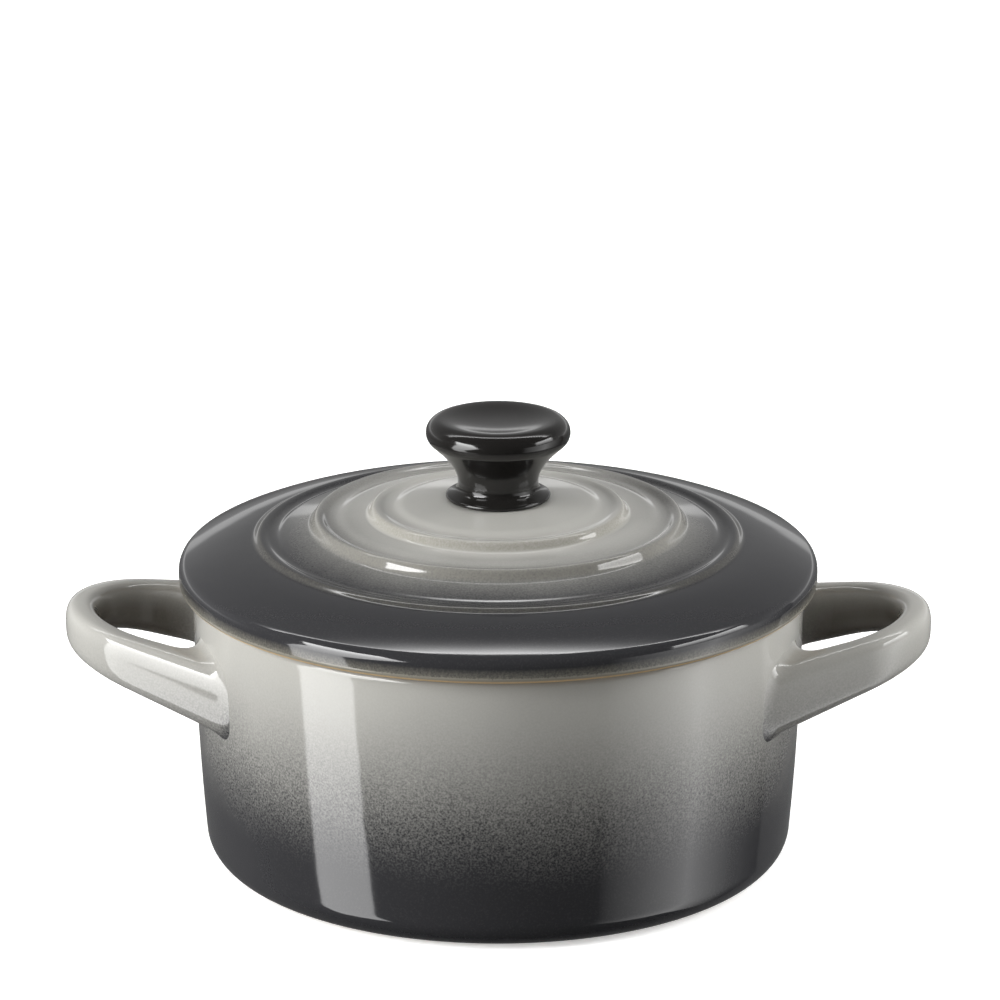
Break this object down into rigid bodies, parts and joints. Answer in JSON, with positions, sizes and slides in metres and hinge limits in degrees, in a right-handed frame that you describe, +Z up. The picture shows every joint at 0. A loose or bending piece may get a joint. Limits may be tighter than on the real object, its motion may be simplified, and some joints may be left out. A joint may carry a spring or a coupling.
{
  "type": "mini cocotte",
  "caption": "Small round glazed stoneware casserole with loop handles and a domed, ringed lid with a black knob, for baking and serving single portions.",
  "frame": {"origin": "middle of the foot ring, on the surface the pot stands on", "axes": "+X through one loop handle, +Z up through the knob"},
  "size_m": [0.1422, 0.1048, 0.0741],
  "materials": {
    "pot_glaze": "gloss glaze shading from warm light grey at the rim to near black at the foot, with fine pigment speckle",
    "lid_glaze": "gloss glaze shading from warm light grey at the knob to charcoal at the edge",
    "knob_black": "polished black phenolic",
    "insert_brass": "turned",
    "screw_steel": "stainless, plain",
    "seal_silicone": "matt silicone"
  },
  "bodies": {
    "pot": {"pot": "pot_glaze"},
    "lid": {"lid": "lid_glaze", "knob": "knob_black", "knob_insert": "insert_brass", "knob_screw": "screw_steel", "screw_washer": "screw_steel", "seal_washer": "seal_silicone"}
  },
  "joints": [
    {"name": "lid_lift", "type": "slide", "parent": "pot", "child": "lid", "axis": [0, 0, 1], "range_m": [0, 0.08]}
  ]
}
